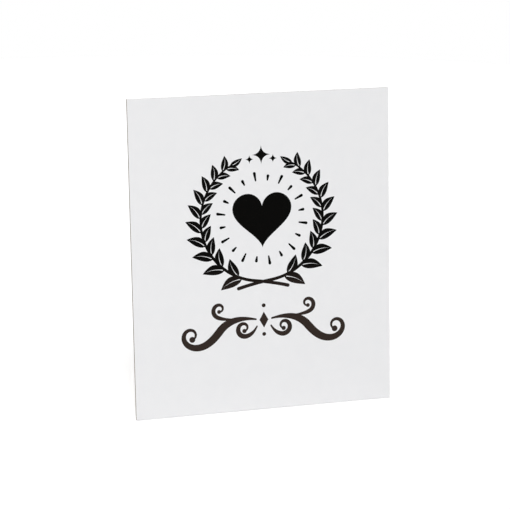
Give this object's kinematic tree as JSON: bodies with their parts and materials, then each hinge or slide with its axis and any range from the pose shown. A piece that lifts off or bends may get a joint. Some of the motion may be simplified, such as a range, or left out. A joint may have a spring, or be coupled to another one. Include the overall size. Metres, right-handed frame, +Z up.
{
  "type": "tabletop sign",
  "caption": "Flat printed card sign that leans back on a folding cardboard easel, whose wing is held open by a lock arm through its slot.",
  "frame": {"origin": "on the table, under the middle of the sign's width and of its depth from the panel's front bottom edge to the wing's heel", "axes": "+Z up, +Y away from the reader and towards the easel, +X to the reader's right"},
  "size_m": [0.254, 0.097, 0.3034],
  "materials": {
    "front_paper": "satin coated white paper, printed in black ink",
    "core_chipboard": "matte grey-brown chipboard with dark, bare cut edges",
    "back_paper": "uncoated off-white paper",
    "tape": "double-sided tissue tape",
    "easel_chipboard": "matte natural chipboard, die-cut"
  },
  "bodies": {
    "sign": {"front_sheet": "front_paper", "core_board": "core_chipboard", "back_sheet": "back_paper", "tape_strip_outer": "tape", "tape_strip_crease": "tape", "easel_glue_panel": "easel_chipboard"},
    "wing": {"easel_wing": "easel_chipboard"},
    "lock_arm": {"easel_lock_arm": "easel_chipboard"}
  },
  "joints": [
    {"name": "wing_fold", "type": "hinge", "parent": "sign", "child": "wing", "pos_m": [-0.0006, -0.0319, 0.11521], "axis": [0, 0.1045, 0.9945], "range_deg": [-90, 0]},
    {"name": "lock_fold", "type": "hinge", "parent": "sign", "child": "lock_arm", "pos_m": [-0.0406, -0.04068, 0.03167], "axis": [0, 0.1045, 0.9945], "range_deg": [-45, 0]}
  ],
  "couplings": [
    {"joint": "lock_fold", "follows": "wing_fold", "ratio": 0.5}
  ]
}
